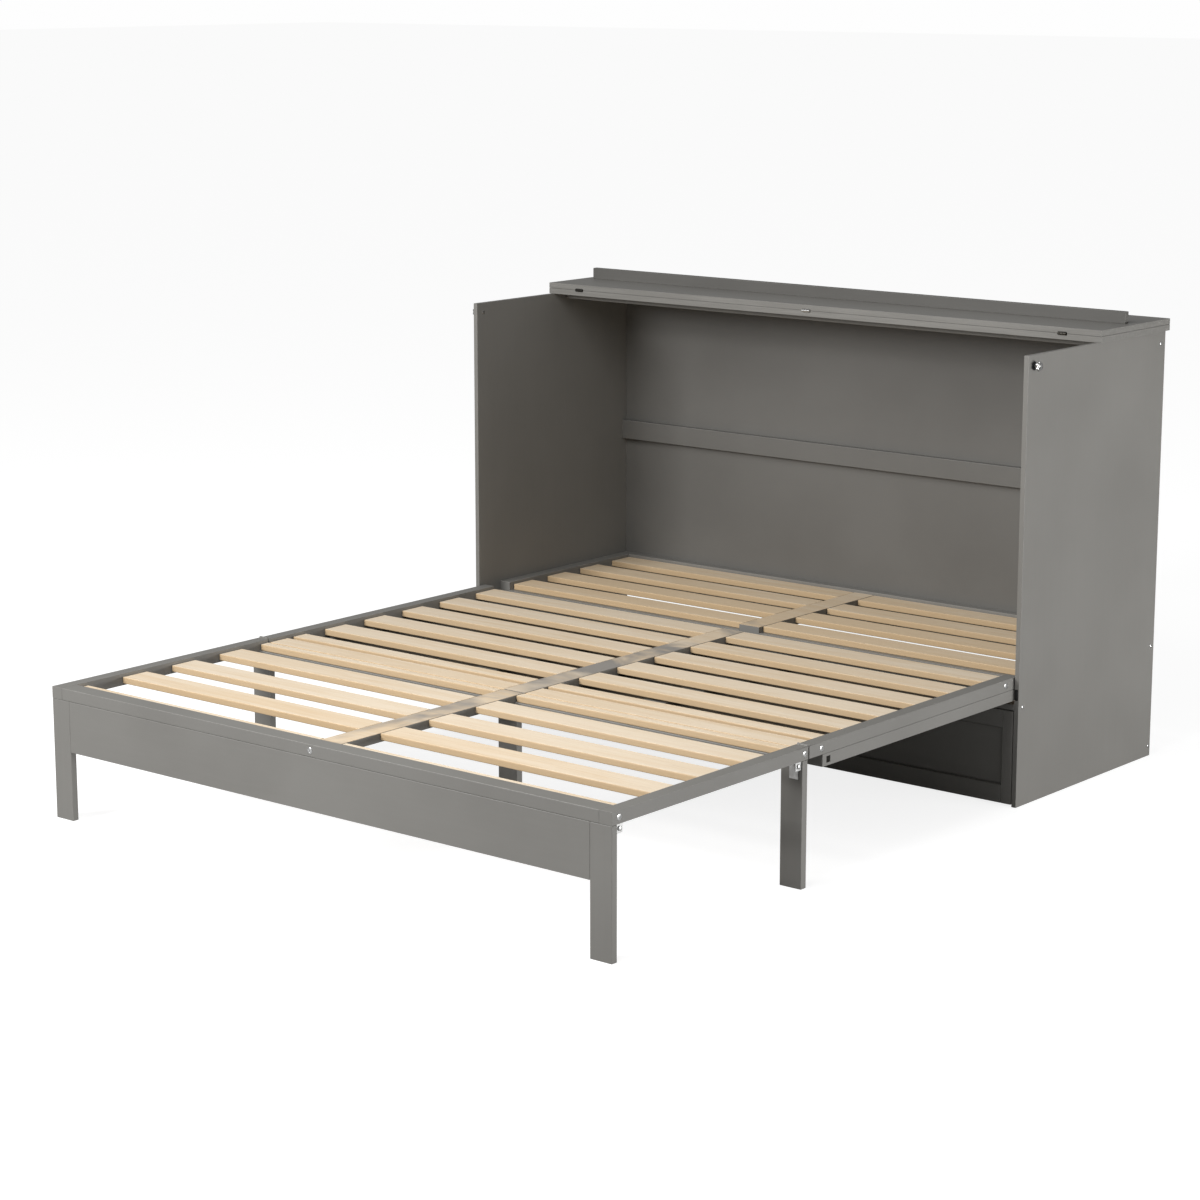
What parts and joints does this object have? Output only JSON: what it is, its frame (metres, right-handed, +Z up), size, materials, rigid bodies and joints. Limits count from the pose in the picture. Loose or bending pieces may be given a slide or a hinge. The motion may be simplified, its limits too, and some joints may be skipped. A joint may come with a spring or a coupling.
{
  "type": "cabinet bed",
  "caption": "Chest-shaped cabinet bed: a fold-down door carries a folding slatted base with hinged legs, above a storage drawer and under a folding lid.",
  "frame": {"origin": "floor level, at the centre of the open bed's footprint", "axes": "+X to the right seen from the bed's foot, -Y towards the foot of the bed, +Z up"},
  "size_m": [1.672, 2.0532, 1.0891],
  "materials": {
    "grey_paint": "satin grey paint on board",
    "slat_wood": "planed pale birch, bare",
    "drawer_lining": "plain pale melamine",
    "zinc_steel": "zinc plated",
    "zinc_bolts": "bright plated",
    "knob_steel": "satin chrome",
    "black_nylon": "matt nylon"
  },
  "bodies": {
    "cabinet": {"side_panel_left": "grey_paint", "side_panel_right": "grey_paint", "back_panel": "grey_paint", "back_batten": "grey_paint", "lower_back_rail": "grey_paint", "front_cross_rail": "grey_paint", "fixed_top": "grey_paint", "top_stretcher": "grey_paint", "rear_frame": "grey_paint", "rear_centre_rail": "grey_paint", "rear_slats_left": "slat_wood", "rear_slats_right": "slat_wood", "deck_ledgers": "grey_paint", "pivot_blocks": "black_nylon", "drawer_runners_fixed": "zinc_steel", "side_screws": "zinc_bolts", "lid_hinges_fixed": "zinc_steel", "lock_bushes": "black_nylon"},
    "lid": {"lid_flap": "grey_paint", "lid_batten": "grey_paint", "lid_hinges_moving": "zinc_steel"},
    "door": {"door_stile_left": "grey_paint", "door_stile_right": "grey_paint", "door_rails": "grey_paint", "door_panels": "grey_paint", "door_pivot_pins": "zinc_steel"},
    "middle_section": {"mid_rail_left": "grey_paint", "mid_rail_right": "grey_paint", "mid_centre_rail": "grey_paint", "mid_crossbars": "grey_paint", "mid_slats_left": "slat_wood", "mid_slats_right": "slat_wood", "mid_bolts": "zinc_bolts", "mid_fold_hinges": "zinc_steel"},
    "front_section": {"front_rail_left": "grey_paint", "front_rail_right": "grey_paint", "front_centre_rail": "grey_paint", "front_joint_rail": "grey_paint", "foot_rail": "grey_paint", "front_slats_left": "slat_wood", "front_slats_right": "slat_wood", "front_bolts": "zinc_bolts", "front_fold_hinges": "zinc_steel", "leg_brackets": "zinc_steel"},
    "footboard": {"footboard_apron": "grey_paint", "foot_legs": "grey_paint", "foot_leg_ears": "zinc_steel"},
    "left_leg": {"mid_leg_left": "grey_paint", "mid_leg_ear_left": "zinc_steel"},
    "centre_leg": {"mid_leg_centre": "grey_paint", "mid_leg_ear_centre": "zinc_steel"},
    "right_leg": {"mid_leg_right": "grey_paint", "mid_leg_ear_right": "zinc_steel"},
    "drawer": {"drawer_front": "grey_paint", "drawer_frame": "grey_paint", "drawer_walls": "drawer_lining", "drawer_bottom": "drawer_lining", "drawer_runners_moving": "zinc_steel"},
    "left_lock": {"lock_knob_left": "knob_steel"},
    "right_lock": {"lock_knob_right": "knob_steel"}
  },
  "joints": [
    {"name": "lid_fold", "type": "hinge", "parent": "cabinet", "child": "lid", "pos_m": [0, 0.7085, 1.0473], "axis": [1, 0, 0], "range_deg": [0, 180]},
    {"name": "bed_fold", "type": "hinge", "parent": "cabinet", "child": "door", "pos_m": [0, 0.4315, 0.26225], "axis": [-1, 0, 0], "range_deg": [0, 90]},
    {"name": "frame_shift", "type": "slide", "parent": "door", "child": "middle_section", "axis": [0, 1, 0], "range_m": [0, 0.04975]},
    {"name": "section_fold", "type": "hinge", "parent": "middle_section", "child": "front_section", "pos_m": [0, -0.385, 0.3035], "axis": [-1, 0, 0], "range_deg": [0, 180]},
    {"name": "footboard_fold", "type": "hinge", "parent": "front_section", "child": "footboard", "pos_m": [0, -1, 0.266], "axis": [1, 0, 0], "range_deg": [0, 90]},
    {"name": "left_leg_fold", "type": "hinge", "parent": "front_section", "child": "left_leg", "pos_m": [0, -0.417, 0.266], "axis": [-1, 0, 0], "range_deg": [0, 90]},
    {"name": "centre_leg_fold", "type": "hinge", "parent": "front_section", "child": "centre_leg", "pos_m": [0, -0.417, 0.266], "axis": [-1, 0, 0], "range_deg": [0, 90]},
    {"name": "right_leg_fold", "type": "hinge", "parent": "front_section", "child": "right_leg", "pos_m": [0, -0.417, 0.266], "axis": [-1, 0, 0], "range_deg": [0, 90]},
    {"name": "drawer_slide", "type": "slide", "parent": "cabinet", "child": "drawer", "axis": [0, -1, 0], "range_m": [0, 0.4]},
    {"name": "left_lock_slide", "type": "slide", "parent": "cabinet", "child": "left_lock", "axis": [1, 0, 0], "range_m": [0, 0.007]},
    {"name": "right_lock_slide", "type": "slide", "parent": "cabinet", "child": "right_lock", "axis": [-1, 0, 0], "range_m": [0, 0.007]}
  ],
  "couplings": [
    {"joint": "frame_shift", "follows": "bed_fold", "m_per_rad": 0.031672},
    {"joint": "section_fold", "follows": "bed_fold", "ratio": 2},
    {"joint": "footboard_fold", "follows": "bed_fold", "ratio": 1},
    {"joint": "left_leg_fold", "follows": "bed_fold", "ratio": 1},
    {"joint": "centre_leg_fold", "follows": "bed_fold", "ratio": 1},
    {"joint": "right_leg_fold", "follows": "bed_fold", "ratio": 1}
  ]
}
